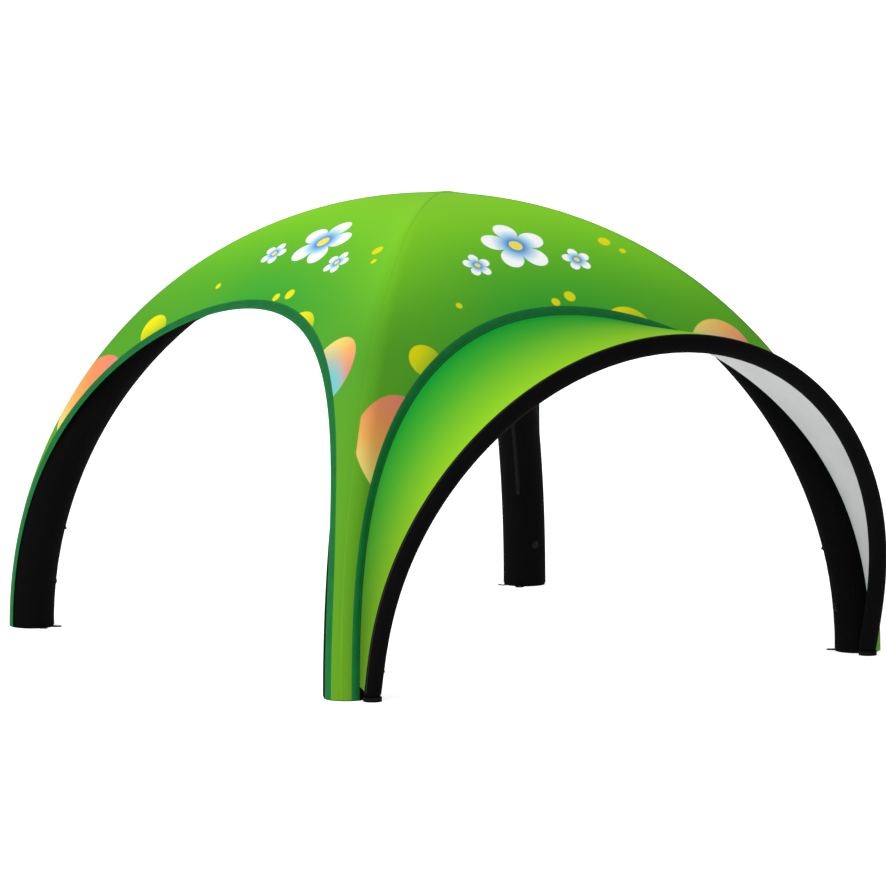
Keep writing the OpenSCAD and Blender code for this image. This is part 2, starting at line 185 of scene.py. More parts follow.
def shell(name, outer, inner, outside, inside, **maps):
    """A thin closed sheet from two grids, with its own material on each side."""
    m, n = outer.shape[:2]
    count = m * n
    front = grid_faces(m, n)
    back = grid_faces(m, n, count)
    edge = np.concatenate([np.arange(m) * n, (m - 1) * n + np.arange(1, n),
                           np.arange(m - 2, -1, -1) * n + n - 1, np.arange(n - 2, 0, -1)])
    after = np.roll(edge, -1)
    rim = np.stack([edge, after, after + count, edge + count], -1).tolist()
    slots = [0] * len(front) + [1] * len(back) + [0] * len(rim)
    doubled = {k: np.concatenate([x.reshape(-1, 3)] * 2) for k, x in maps.items()}
    points = np.concatenate([outer.reshape(-1, 3), inner.reshape(-1, 3)])
    return new_mesh(name, points, front + back + rim, [outside, inside], slots, **doubled)


def loft(name, rings, material, **maps):
    """A closed solid over rings of points, each ring a row of the array."""
    m, n = rings.shape[:2]
    caps = [list(range(n)), [(m - 1) * n + j for j in range(n)]]
    return new_mesh(name, rings, grid_faces(m, n, wrap=True) + caps, [material], **maps)


def boxes(name, corners, material, **maps):
    """Many six-sided blocks in one mesh, from an array of eight corners each."""
    sides = np.array([[0, 1, 3, 2], [4, 5, 7, 6], [0, 1, 5, 4], [2, 3, 7, 6],
                      [0, 2, 6, 4], [1, 3, 7, 5]])
    faces = (sides[None] + 8 * np.arange(len(corners))[:, None, None]).reshape(-1, 4)
    return new_mesh(name, corners, faces.tolist(), [material], **maps)


def stacked(*parts):
    """Arrays of coordinates, spread to one shape and joined into vectors."""
    return np.stack(np.broadcast_arrays(*parts), -1)


def section_columns(section):
    """The two columns of a section's points, each as a row to spread along a sweep."""
    return np.array([p[0] for p in section])[None], np.array([p[1] for p in section])[None]


def smooth_noise(u, v, seed):
    """A smooth field of about -1 to 1 from two octaves of waves with seeded phases."""
    rng = np.random.default_rng(seed)
    total = np.zeros(np.broadcast(u, v).shape)
    for finer, weight in ((1, 4.0), (2, 4 * 1.6)):
        for _ in range(4):
            a, b = rng.normal(size=2) * finer
            total = total + np.sin(a * u + b * v + rng.uniform(0, 2 * math.pi)) / weight
    return total


# ---- material helpers ----

class Graph:
    """Short names for building a node material."""

    def __init__(self, name):
        self.material = bpy.data.materials.new(name)
        self.material.use_nodes = True
        self.tree = self.material.node_tree
        self.shader = self.tree.nodes["Principled BSDF"]

    def node(self, kind, **settings):
        n = self.tree.nodes.new(kind)
        for key, value in settings.items():
            setattr(n, key, value)
        return n

    def put(self, value, socket):
        """Links a node's output to a socket, or sets the socket to a constant."""
        if isinstance(value, bpy.types.NodeSocket):
            self.tree.links.new(value, socket)
        else:
            socket.default_value = (*value, 1) if socket.type == "RGBA" else value

    def math(self, operation, a, b=0.0):
        n = self.node("ShaderNodeMath", operation=operation)
        for value, socket in zip((a, b), n.inputs):
            self.put(value, socket)
        return n.outputs[0]

    def plus(self, a, b):
        return self.math("ADD", a, b)

    def minus(self, a, b):
        return self.math("SUBTRACT", a, b)

    def times(self, a, b):
        return self.math("MULTIPLY", a, b)

    def flipped(self, value):
        return self.minus(1.0, value)

    def vector(self, operation, a, b=(0, 0, 0)):
        n = self.node("ShaderNodeVectorMath", operation=operation)
        self.put(a, n.inputs[0])
        self.put(b, n.inputs[1])
        return n.outputs["Value" if operation in ("LENGTH", "DOT_PRODUCT") else "Vector"]

    def split(self, vector):
        n = self.node("ShaderNodeSeparateXYZ")
        self.put(vector, n.inputs[0])
        return n.outputs

    def ramp(self, value, low, high, smooth=True):
        n = self.node("ShaderNodeMapRange", interpolation_type="SMOOTHSTEP" if smooth else "LINEAR")
        self.put(value, n.inputs["Value"])
        self.put(low, n.inputs["From Min"])
        self.put(high, n.inputs["From Max"])
        return n.outputs["Result"]

    def colours(self, value, stops):
        n = self.node("ShaderNodeValToRGB")
        self.put(value, n.inputs[0])
        elements = n.color_ramp.elements
        while len(elements) < len(stops):
            elements.new(0.5)
        for element, (place, colour) in zip(elements, stops):
            element.position = place
            element.color = (*colour, 1)
        return n.outputs[0]

    def mix(self, share, a, b, blend="MIX"):
        n = self.node("ShaderNodeMix", data_type="RGBA", blend_type=blend)
        self.put(share, n.inputs[0])
        self.put(a, n.inputs[6])
        self.put(b, n.inputs[7])
        return n.outputs[2]

    def noise(self, vector, scale, detail=2.0, rough=0.5):
        n = self.node("ShaderNodeTexNoise")
        self.put(vector, n.inputs["Vector"])
        n.inputs["Scale"].default_value = scale
        n.inputs["Detail"].default_value = detail
        n.inputs["Roughness"].default_value = rough
        return n.outputs["Fac"]

    def read(self, name):
        return self.node("ShaderNodeAttribute", attribute_name=name).outputs["Vector"]

    def place(self, vector, centre, turn, size):
        """The vector as seen from a turned and scaled frame at centre."""
        n = self.node("ShaderNodeMapping", vector_type="TEXTURE")
        self.put(vector, n.inputs["Vector"])
        n.inputs["Location"].default_value = (*centre, 0)
        n.inputs["Rotation"].default_value = (0, 0, turn)
        n.inputs["Scale"].default_value = size
        return n.outputs[0]

    def bump(self, height, strength, distance, below=None):
        n = self.node("ShaderNodeBump")
        n.inputs["Strength"].default_value = strength
        n.inputs["Distance"].default_value = distance
        self.put(height, n.inputs["Height"])
        if below is not None:
            self.put(below, n.inputs["Normal"])
        return n.outputs[0]

    def finish(self, colour, roughness, normal=None, **constants):
        self.put(colour, self.shader.inputs["Base Color"])
        self.put(roughness, self.shader.inputs["Roughness"])
        if normal is not None:
            self.put(normal, self.shader.inputs["Normal"])
        for name, value in constants.items():
            self.shader.inputs[name.replace("_", " ")].default_value = value
        return self.material


def linear(red, green, blue):
    """A colour given as 0 to 255 screen values, in linear light."""
    return tuple((c / 255 / 12.92) if c <= 10 else ((c / 255 + 0.055) / 1.055) ** 2.4
                 for c in (red, green, blue))


def weave(g, coords, pitch):
    """The height of a plain weave: threads over and under, pitch apart."""
    x, y, _ = g.split(coords)
    turn = 2 * math.pi / pitch
    warp = g.math("SINE", g.times(x, turn))
    weft = g.math("SINE", g.times(y, turn))
    return g.times(warp, weft)


STITCH_HALF_W = 0.0009


def dashes(g, along, across, centre, pitch=0.006):
    """A mask of one row of stitches that runs along at a set place across."""
    offset = g.math("ABSOLUTE", g.minus(across, centre))
    row = g.flipped(g.ramp(offset, STITCH_HALF_W * 0.6, STITCH_HALF_W))
    step = g.math("FRACT", g.math("DIVIDE", along, pitch))
    middle = g.math("ABSOLUTE", g.minus(step, 0.5))
    return g.times(row, g.flipped(g.ramp(middle, 0.3, 0.36)))


def polar(g, local):
    """A flat vector's x and y, and its length."""
    x, y, _ = g.split(local)
    return x, y, g.math("SQRT", g.plus(g.times(x, x), g.times(y, y)))


def spot(g, coords, centre, radii, turn=0.0, soft=0.006):
    """A mask of an ellipse, and the place inside it from -1 to 1 both ways."""
    x, y, far = polar(g, g.place(coords, centre, turn, (*radii, 1)))
    edge = soft / min(radii)
    return g.flipped(g.ramp(far, 1 - edge, 1 + edge)), x, y


THREAD_DEPTH = 0.00012
UNEVEN_DEPTH = 0.0012


def cloth_surface(g, coords, pitch=0.0011):
    """The bump of woven cloth: threads, and a slight unevenness of the hand-laid cloth."""
    uneven = g.noise(coords, 7.0, 3.0, 0.55)
    threads = weave(g, coords, pitch)
    return g.bump(threads, 0.5, THREAD_DEPTH, g.bump(uneven, 0.5, UNEVEN_DEPTH))


WEBBING_RIB = 0.0026

# ---- colours, in linear light ----
BLACK_CLOTH = linear(8, 8, 9)
GREY_CLOTH = linear(190, 191, 191)
BINDING_GREEN = linear(12, 104, 48)
THREAD_GREEN = linear(34, 150, 78)
DOT_YELLOW = linear(224, 214, 4)
# Painted shade that multiplies the canopy's print: one for the front and rear panels, one for the left
# and right, one near the feet; none at the crown.
FOOT_PAINTED_SHADE = (0.9, 0.84, 0.7)
FRONT_PAINTED_SHADE = (0.87, 0.96, 1.0)
SIDE_PAINTED_SHADE = (0.8, 0.93, 1.0)

# ---- the printed picture: flat is X across and Z up, cloth is X across and length up the cloth ----
PRINT_FROM = 2.0
GLOW_CENTRE = (0.0, 2.05)
GLOW_SIZE = (1.9, 1.05)
DOTS = [(-0.66, 2.258, 0.022), (0.05, 2.245, 0.03), (0.17, 2.272, 0.039),
        (0.655, 2.565, 0.04), (0.74, 2.508, 0.022)]
DISCS = [(-1.06, 1.96, 0.115), (0.505, 2.068, 0.166)]
LEFT_SPOT = ((-1.425, 1.47), (0.325, 0.275), math.radians(54))
RIGHT_SPOT = ((1.12, 1.885), (0.22, 0.208))
SPOT_SOFT = 0.004
FLOWERS = [(0.0, 2.57, 0.23), (-0.37, 2.475, 0.1), (0.37, 2.475, 0.1)]
PETALS = 5
HEART_R = 0.2

SLOPE_STEPS = 24
SLOPE_PROBE = 0.004


def slope_length(x, z):
    """Length of cloth at x from PRINT_FROM up to the height z."""
    total = 0
    for share in (np.arange(SLOPE_STEPS) + 0.5) / SLOPE_STEPS:
        height = PRINT_FROM + (z - PRINT_FROM) * share
        rise = skin_y(x, height + SLOPE_PROBE, SKIN_R) - skin_y(x, height - SLOPE_PROBE, SKIN_R)
        total = total + np.sqrt(1 + (rise / (2 * SLOPE_PROBE)) ** 2)
    return total / SLOPE_STEPS * (z - PRINT_FROM)


def up_the_cloth(x, z):
    return float(slope_length(np.array([x]), np.array([z]))[0])


def canopy_colour(g, flat):
    """The green of the canopy: leaf green round the opening, yellower towards the edges."""
    _, z, _ = g.split(flat)
    local = g.place(flat, GLOW_CENTRE, 0.0, (*GLOW_SIZE, 1))
    far = g.vector("LENGTH", g.vector("MULTIPLY", local, (1, 1, 0)))
    mottled = g.plus(far, g.times(g.minus(g.noise(flat, 1.3), 0.5), 0.1))
    lower = g.colours(mottled, [(0.05, linear(38, 154, 42)), (0.4, linear(78, 158, 36)),
                                (1.0, linear(92, 152, 28))])
    upper = g.colours(mottled, [(0.05, linear(38, 168, 50)), (0.4, linear(96, 182, 34)),
                                (1.0, linear(150, 224, 26))])
    return g.mix(g.ramp(z, 1.95, 2.75), lower, upper)


def big_spots(g, flat, cloth, colour):
    """The two yellow discs, and the warm spot low on each side of the opening."""
    for x, z, r in DISCS:
        mask, u, v = spot(g, cloth, (x, up_the_cloth(x, z)), (r, r * 0.98), soft=SPOT_SOFT)
        side = g.ramp(g.minus(v, u), -1.3, 1.3)
        yellow = g.colours(side, [(0, linear(140, 176, 30)), (1, DOT_YELLOW)])
        colour = g.mix(mask, colour, yellow)
    mask, u, v = spot(g, flat, *LEFT_SPOT, soft=SPOT_SOFT)
    side = g.ramp(g.plus(u, g.times(v, -0.35)), -1.0, 0.9, smooth=False)
    colour = g.mix(mask, colour, g.colours(side, [
        (0, linear(216, 196, 112)), (0.3, linear(222, 158, 82)), (0.6, linear(220, 134, 84)),
        (1.0, linear(218, 122, 108))]))
    mask, u, v = spot(g, flat, *RIGHT_SPOT, soft=SPOT_SOFT)
    slant = g.plus(g.times(u, 0.8), g.times(v, -0.75))
    warm = g.colours(g.ramp(slant, -1.1, 1.1, smooth=False), [
        (0, linear(228, 206, 104)), (0.42, linear(226, 162, 92)), (0.85, linear(212, 122, 116))])
    inner = g.flipped(g.ramp(g.plus(u, v), 0.3, 1.2))
    low = g.flipped(g.ramp(v, -0.2, 0.95))
    cool = g.mix(g.times(inner, low), warm, linear(108, 184, 188))
    return g.mix(mask, colour, cool)


def canopy_print(name, shade):
    """The canopy's print with painted shade: the tint darkens its green by panel and by height between
    the legs' feet and the crown, and fades out at the crown.
    """
    g = Graph(name)
    flat, cloth = g.read("flat"), g.read("cloth")
    _, height, _ = g.split(flat)
    # This tint is painted shade: darker low on the panels, a different depth per panel, and none at the
    # crown.
    painted_shade_tint = g.colours(g.ramp(height, 0.0, CROWN_Z, smooth=False), [
        (0.1, FOOT_PAINTED_SHADE), (0.45, shade), (0.79, shade), (0.985, (1, 1, 1))])
    colour = g.mix(1.0, canopy_colour(g, flat), painted_shade_tint, blend="MULTIPLY")
    colour = big_spots(g, flat, cloth, colour)
    for x, z, r in DOTS:
        mask, _, _ = spot(g, cloth, (x, up_the_cloth(x, z)), (r, r))
        colour = g.mix(mask, colour, DOT_YELLOW)
    for x, z, r in FLOWERS:
        colour = flower(g, cloth, (x, up_the_cloth(x, z)), r, colour)
    normal = cloth_surface(g, cloth)
    rough = g.ramp(g.noise(cloth, 30.0), 0.2, 0.8, smooth=False)
    rough = g.plus(g.times(rough, 0.08), 0.6)
    return g.finish(colour, rough, normal, Specular_IOR_Level=0.1)


def flower(g, coords, centre, size, below):
    """Five white petals with a blue flush at their roots and a yellow heart."""
    x, y, far = polar(g, g.place(coords, centre, math.radians(90), (size, size, 1)))
    turns = g.times(g.math("ARCTAN2", y, x), PETALS / 2)
    lobes = g.math("ABSOLUTE", g.math("COSINE", turns))
    reach = g.plus(g.times(g.math("POWER", lobes, 0.55), 0.66), 0.34)
    inside = g.minus(reach, far)
    soft = SPOT_SOFT / size
    petal = g.ramp(inside, -soft, soft)
    flush = g.colours(far, [(0.22, linear(58, 140, 214)), (0.5, linear(186, 220, 240)),
                            (0.72, linear(250, 252, 252))])
    heart = g.flipped(g.ramp(far, HEART_R - soft, HEART_R + soft))
    return g.mix(petal, below, g.mix(heart, flush, linear(240, 220, 80)))


def plain_cloth(name, colour, rough, pitch=0.0011, contrast=0.1, gloss=0.2):
    """Woven cloth of one colour, with the slight unevenness of its dye."""
    g = Graph(name)
    cloth = g.read("cloth")
    dye = g.noise(cloth, 2.2, 4.0)
    darker = tuple(c * (1 - contrast) for c in colour)
    tone = g.mix(g.ramp(dye, 0.3, 0.7), darker, colour)
    fine = g.ramp(weave(g, cloth, pitch), -1, 1)
    tone = g.mix(g.times(fine, 0.12), tone, tuple(c * 1.3 for c in colour))
    roughness = g.plus(g.times(dye, 0.1), rough - 0.05)
    return g.finish(tone, roughness, cloth_surface(g, cloth, pitch), Specular_IOR_Level=gloss)


def stitched_tape(name, colour, thread, rows, rib=0.0022):
    """Ribbed tape with rows of stitches at set places across it, in metres."""
    g = Graph(name)
    cloth = g.read("cloth")
    along, across, _ = g.split(cloth)
    ribs = g.math("SINE", g.times(along, 2 * math.pi / rib))
    fine = g.math("SINE", g.times(across, 2 * math.pi / (rib * 0.5)))
    height = g.plus(ribs, g.times(fine, 0.4))
    darker = tuple(c * 0.86 for c in colour)
    tone = g.mix(g.ramp(g.noise(cloth, 9.0, 4.0), 0.3, 0.7), darker, colour)
    stitch_height = 0.0
    for row in rows:
        mask = dashes(g, along, across, row)
        tone = g.mix(mask, tone, thread)
        pulled = g.math("ABSOLUTE", g.minus(across, row))
        groove = g.times(g.flipped(g.ramp(pulled, 0.0, 0.005)), -0.8)
        stitch = g.plus(g.times(mask, 0.9), groove)
        stitch_height = g.plus(stitch_height, stitch)
    normal = g.bump(height, 0.4, 0.00025, g.bump(stitch_height, 0.7, 0.0009))
    return g.finish(tone, 0.6, normal, Specular_IOR_Level=0.1)


def awning_print_and_painted_shade(name):
    """The awning's outer face: deep green by the tent, yellow-green towards the arch, and darker low
    down, partly print and partly painted shade.
    """
    g = Graph(name)
    flat, cloth = g.read("flat"), g.read("cloth")
    across, z, _ = g.split(flat)
    upper = g.colours(across, [(0.0, linear(8, 150, 48)), (0.3, linear(66, 166, 44)),
                               (0.65, linear(112, 184, 40)), (1.0, linear(142, 200, 34))])
    # The lower colours are partly the print's gradient and partly painted shade, darkening the face
    # towards the bottom.
    lower = g.colours(across, [(0.0, linear(72, 120, 30)), (1.0, linear(90, 132, 26))])
    colour = g.mix(g.ramp(z, 0.2, 2.0), lower, upper)
    return g.finish(colour, 0.7, cloth_surface(g, cloth), Specular_IOR_Level=0.02)


def solid_material(name, colour, rough, grain=600.0, depth=0.0001, worn=None, **constants):
    """Moulded or metal stuff on a CAD part: fine grain, blotchy gloss and lighter wear."""
    g = Graph(name)
    place = g.node("ShaderNodeTexCoord").outputs["Object"]
    blotch = g.noise(place, 38.0, 4.0)
    fine = g.noise(place, grain, 3.0, 0.6)
    lighter = tuple(min(1, c * 1.35 + 0.002) for c in colour)
    tone = g.mix(g.ramp(blotch, 0.35, 0.75), colour, lighter)
    if worn is not None:
        scuffs = g.ramp(g.noise(place, 160.0, 6.0, 0.7), 0.62, 0.74)
        tone = g.mix(g.times(scuffs, 0.5), tone, worn)
    roughness = g.plus(g.times(blotch, 0.2), rough - 0.1)
    return g.finish(tone, roughness, g.bump(fine, 0.35, depth), **constants)


def film_material(name):
    """The bladder's milky film, with welded creases."""
    g = Graph(name)
    cloth = g.read("cloth")
    crease = g.noise(cloth, 16.0, 5.0, 0.65)
    tone = g.mix(crease, linear(206, 210, 206), linear(232, 234, 230))
    return g.finish(tone, g.plus(g.times(crease, 0.2), 0.2),
                    g.bump(crease, 0.6, 0.002), Specular_IOR_Level=0.5)


# Two copies of the print with different painted shade: one for the front and rear panels, one for the
# left and right.
print_and_painted_shade = {"front": canopy_print("canopy_print_front_painted_shade", FRONT_PAINTED_SHADE),
           "left": canopy_print("canopy_print_side_painted_shade", SIDE_PAINTED_SHADE)}
print_and_painted_shade["rear"], print_and_painted_shade["right"] = print_and_painted_shade["front"], print_and_painted_shade["left"]
lining = plain_cloth("canopy_lining", GREY_CLOTH, rough=0.75)
sleeve_cloth = plain_cloth("sleeve_cloth", BLACK_CLOTH, rough=0.85, pitch=0.0014,
                           contrast=0.25, gloss=0.03)
binding_cloth = stitched_tape("binding_cloth", BINDING_GREEN, THREAD_GREEN, [0.006, 0.047])
black_webbing = stitched_tape("black_webbing", BLACK_CLOTH, linear(40, 40, 42), [0.003, 0.029],
                              rib=WEBBING_RIB)
film = film_material("bladder_film")


def stands_for(piece, node, body="root", *, slot):
    """Says which CAD node a piece replaces and which body it moves with; slot, its finish, is not used.
    """
    if body is not None:
        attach(piece, body)
    if node is not None:
        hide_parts(node)


def grid_area(points):
    """Area of a grid of points, in square metres."""
    a, b = points[1:, 1:] - points[:-1, :-1], points[1:, :-1] - points[:-1, 1:]
    return float(np.linalg.norm(np.cross(a, b), axis=-1).sum() / 2)


def unit(v):
    return v / np.linalg.norm(v, axis=-1, keepdims=True)


def run_length(points):
    """Distance along a row of points, from its first one."""
    steps = np.linalg.norm(np.diff(points, axis=0), axis=-1)
    return np.concatenate([[0], np.cumsum(steps)])


# ---- canopy panels ----
COLUMNS, ROWS = 240, 40
ROW_CROWDING = 1.4
PANEL_TUCK = 0.008
EDGE_PER_RADIAN = 2.45
DOOR_GATHER = 0.0085
RIDGE_GATHER = 0.013
around = np.linspace(0, math.pi, COLUMNS + 1)[:, None]
inward = 1 - (1 - np.linspace(0, 1, ROWS + 1)[None]) ** ROW_CROWDING


def panel_relief(x, z, seed):
    """How the tight cloth lies off its even curve: puckers at its seams, soft folds by its feet."""
    from_door = np.hypot(x - low_x, z - low_z)
    from_ridge = np.hypot(high_x - x, high_z - z)
    along = around * EDGE_PER_RADIAN + 0 * x
    gathers = np.sin(along / DOOR_GATHER + 2.5 * smooth_noise(along * 3, from_door * 9, seed))
    strength = 0.5 + 0.5 * smooth_noise(along * 2.2, 0 * x, seed + 1)
    door_pucker = gathers * strength * np.exp(-from_door / 0.028) * (from_door > 0)
    ridge_pucker = np.sin(along / RIDGE_GATHER + 2 * smooth_noise(along * 4, 0 * x, seed + 2))
    ridge_pucker = ridge_pucker * strength * np.exp(-from_ridge / 0.03)
    footward = np.exp(-z / 0.55)
    folds = smooth_noise((x - low_x) * 60, z * 2.2, seed + 3) * footward
    swell = smooth_noise(x * 2.6, z * 2.6, seed + 4)
    return 0.0004 * door_pucker + 0.00035 * ridge_pucker + 0.0008 * folds + 0.0009 * swell


low_x, low_z = door_edge(around, BINDING_W - PANEL_TUCK)
high_x, high_z = ridge_line(around, SKIN_R)
panel_x = low_x + (high_x - low_x) * inward
panel_z = low_z + (high_z - low_z) * inward
panel_s = slope_length(panel_x, panel_z)
even_skin = skin_points(panel_x, panel_z, SKIN_R)
skin_normal = unit(np.cross(np.gradient(even_skin, axis=1), np.gradient(even_skin, axis=0)))
skin_normal *= np.sign(skin_normal[..., 2:] - skin_normal[..., 1:2])
panels, bindings = [], []
for i, side in enumerate(SIDES):
    relief = panel_relief(panel_x, panel_z, 11 + 7 * i)[..., None]
    outer = on_side(even_skin + skin_normal * relief, i)
    inner = on_side(even_skin + skin_normal * (relief - CLOTH), i)
    panel = shell("panel_" + side, outer, inner, print_and_painted_shade[side], lining,
                  flat=stacked(panel_x, panel_z, panel_s), cloth=stacked(panel_x, panel_s, 0))
    stands_for(panel, "canopy_panel_" + side, slot="canopy_cloth")
    panels.append(panel)

PANEL_AREA = round(grid_area(outer), 2)

# ---- bindings: sections as (place across, height) ----
# The awning's zip takes the place of the front binding's fold.
TAPE_EDGE = [(0.053, 0.0002), (0.0518, 0.0014), (0.047, 0.0013), (0.041, 0.0019)]
FOLDED = TAPE_EDGE + [
    (0.026, 0.0021), (0.012, 0.0019), (0.006, 0.0013), (0.001, 0.0017), (-0.0014, 0.0007),
    (-0.0022, -0.0007), (-0.0014, -0.0022), (0.001, -0.0031), (0.012, -0.0034),
    (0.027, -0.0032), (0.0285, -0.0022), (0.028, -0.0012)]
FLAT_TAPE = TAPE_EDGE + [
    (0.030, 0.0021), (0.021, 0.0019), (0.0165, 0.0012), (0.0152, 0.0002), (0.0155, -0.0020),
    (0.017, -0.0028), (0.028, -0.0030), (0.036, -0.0028), (0.0365, -0.0012)]


def edge_loft(name, section, i, material, steps=360):
    """A section of (across, height) swept along an opening's edge."""
    t = np.linspace(0, math.pi, steps + 1)[:, None]
    wide, high = section_columns(section)
    x, z = door_edge(t, wide)
    rings = on_side(skin_points(x, z, SKIN_R + high), i)
    along = run_length(rings[:, 0])[:, None] + 0 * wide
    return loft(name, rings, material, cloth=stacked(along, wide, high))


for i, side in enumerate(SIDES):
    section = FLAT_TAPE if side == "front" else FOLDED
    binding = edge_loft("binding_" + side, section, i, binding_cloth)
    stands_for(binding, "opening_binding_" + side, slot="binding_cloth")
    bindings.append(binding)


# ---- felled seams over the ridges, each from foot to foot over the crown ----
SEAM_ROWS = (-0.0035, 0.0035)


def seam_print(name):
    """The canopy's green with the ridge seam's two rows of stitches."""
    g = Graph(name)
    flat, cloth = g.read("flat"), g.read("cloth")
    along, across, _ = g.split(cloth)
    colour = canopy_colour(g, flat)
    height = 0.0
    for row in SEAM_ROWS:
        mask = dashes(g, along, across, row, pitch=0.005)
        colour = g.mix(mask, colour, linear(84, 150, 40))
        height = g.plus(height, mask)
    normal = g.bump(height, 0.5, 0.0005, cloth_surface(g, cloth))
    return g.finish(colour, 0.58, normal, Specular_IOR_Level=0.1)


def leg_local(a, reach_offset, side):
    """A point in a leg's own frame: a up its arc, out from its axis, and to its side."""
    reach = LEG_AXIS_R + reach_offset
    return stacked(reach * np.cos(a), side, LEG_BASE + reach * np.sin(a))


seam_cloth = seam_print("seam_print")
SEAM_SECTION = [(-0.0066, 0.0004), (-0.006, 0.0013), (-0.0035, 0.0009), (0.0, 0.0016),
                (0.0035, 0.0009), (0.006, 0.0013), (0.0066, 0.0004), (0.0, -0.0006)]
SEAM_CLEAR = 0.001
SEAM_OVERLAP = 0.0006
for i, lift in ((0, SEAM_OVERLAP), (1, 0.0)):
    start = math.asin((HEM + SEAM_CLEAR - LEG_BASE) / (LEG_AXIS_R + SKIN_R))
    a = np.linspace(start, math.pi - start, 361)[:, None]
    side, rise = section_columns(SEAM_SECTION)
    out = SKIN_R * np.cos(side / SKIN_R) + rise + lift
    rings = turned(leg_local(a, out, side), CORNER_TURN[i])
    reach = LEG_AXIS_R + SKIN_R
    flat = stacked(reach * np.cos(a) / math.sqrt(2) + side * 0, reach * np.sin(a) + side * 0, 0)
    seam = loft("ridge_seam_" + CORNERS[i], rings, seam_cloth, flat=flat,
                cloth=stacked(a * reach, side, 0))
    stands_for(seam, None, slot="canopy_cloth")

for i, side in enumerate(SIDES):
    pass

# ---- leg sleeves: air-filled tubes of black cloth, with sewn seams and an inner bend ----
SLEEVE_R = 0.1402
BLADDER_R = 0.1355
SLEEVE_FOOT = PAD_TOP + 0.0006
BLADDER_FOOT = PAD_TOP + 0.0036
SLEEVE_SEAMS = [math.radians(x) for x in (78, -78)]
CROWN_CLEAR = 0.0004
FOOT_ROUNDING = [(0.034, 0.0), (0.006, 0.0002), (0.0022, 0.0012), (0.0005, 0.0032)]


def even_ring(count):
    return np.linspace(0, 2 * math.pi, count, endpoint=False)


def ring_angles(count, seams, half=0.032):
    """Angles round a tube, with points set close together at each seam."""
    even = even_ring(count)
    close = [s + d for s in seams for d in (-half, -half * 0.6, 0, half * 0.6, half)]
    close = np.mod(close, 2 * math.pi)
    apart = [x for x in even if np.abs(np.angle(np.exp(1j * (x - close)))).min() > half * 0.7]
    return np.sort(np.concatenate([apart, close]))


def tube_relief(phi, along, seams, seed, depth=0.0012):
    """Raised seams, and puckers where the bend's inner side has cloth to spare."""
    total = 0 * phi * along
    for s in seams:
        off = np.abs(np.angle(np.exp(1j * (phi - s))))
        total = total + 0.0007 * np.clip(1 - (off / 0.02) ** 4, 0, 1)
        uneven = np.sin(along / 0.011 + 9 * smooth_noise(along * 5, 0 * along, seed))
        pull = np.exp(-(off / 0.11) ** 2) * (0.6 + 0.4 * uneven)
        total = total - 0.0006 * pull * (off > 0.024)
    inner = np.clip(np.cos(phi - math.pi), 0, 1) ** 2
    wave = np.sin(along / 0.02 + 4 * smooth_noise(along * 3, phi * 1.2, seed + 1))
    wave = (wave - 1) / 2 * (0.45 + 0.55 * smooth_noise(along * 4, phi * 2, seed + 2) ** 2)
    return total + depth * inner * wave


def mitre_angle(phi, r):
    """Where a leg's tube meets its neighbours at the crown, at phi round the tube."""
    side = np.abs(r * np.sin(phi)) + CROWN_CLEAR
    return np.arccos(side / (LEG_AXIS_R + r * np.cos(phi)))


def leg_tube(name, r, i, material, foot_z, ring, steps, relief=None):
    """A leg's tube from its rounded foot to its mitre at the crown."""
    phi = ring[None]
    share = np.linspace(0, 1, steps + 1)[:, None]
    a = share * mitre_angle(phi, r)
    along = share * LEG_AXIS_R * math.pi / 2
    fade = np.clip((1 - share) * 40, 0, 1)
    radius = r + (relief(phi, along) * fade if relief else 0 * a)
    local = leg_local(a, radius * np.cos(phi), radius * np.sin(phi))
    feet = []
    for inset, up in FOOT_ROUNDING:
        foot_r = r - inset
        feet.append(stacked(LEG_AXIS_R + foot_r * np.cos(phi), foot_r * np.sin(phi), foot_z + up))
    local = np.concatenate(feet + [local])
    down = np.linspace(-0.03, -0.006, len(feet))[:, None]
    all_along = np.concatenate([down + 0 * phi, along + 0 * phi])
    cloth = stacked(all_along, phi * r + 0 * all_along, 0)
    return loft(name, turned(local, CORNER_TURN[i]), material, cloth=cloth)


sleeve_ring = ring_angles(72, SLEEVE_SEAMS)
bladder_ring = even_ring(40)
for i, corner in enumerate(CORNERS):
    def sleeve_relief(phi, along, seed=100 + 10 * i):
        return tube_relief(phi, along, SLEEVE_SEAMS, seed)

    sleeve = leg_tube("sleeve_" + corner, SLEEVE_R, i, sleeve_cloth, SLEEVE_FOOT, sleeve_ring, 220,
                      sleeve_relief)
    stands_for(sleeve, "leg_sleeve_" + corner, slot="sleeve_cloth")
    bladder = leg_tube("bladder_" + corner, BLADDER_R, i, film, BLADDER_FOOT, bladder_ring, 90)
    stands_for(bladder, "leg_bladder_" + corner, slot="bladder_film")

# ---- awning: arch, in its own leaning plane ----
ARCH_VISUAL_R = 0.0558
ARCH_BLADDER_R = AWNING_R - 0.0048
ARCH_NORMAL = np.array([0, 0, 1.0])
ARCH_SEAMS = [math.radians(x) for x in (100, -100)]
ARCH_FROM = math.asin(ARCH_BASE_Z / math.cos(AWNING_LEAN) / (AWNING_RISE * (1 - AWNING_SHOULDER)))


def arch_curve(t):
    """The arch's centreline in its plane: x sideways and y up the slope."""
    x = -AWNING_HALF_W * np.cos(t) * (1 + AWNING_BOW * np.sin(t) ** 2)
    y = AWNING_RISE * np.sin(t) * (1 - AWNING_SHOULDER * np.cos(t) ** 2)
    return np.stack([x, y, 0 * x], -1)


def arch_along(t):
    return unit(arch_curve(t + 0.002) - arch_curve(t - 0.002))


def arch_out(t):
    along = arch_along(t)
    return np.stack([-along[..., 1], along[..., 0], 0 * along[..., 0]], -1)


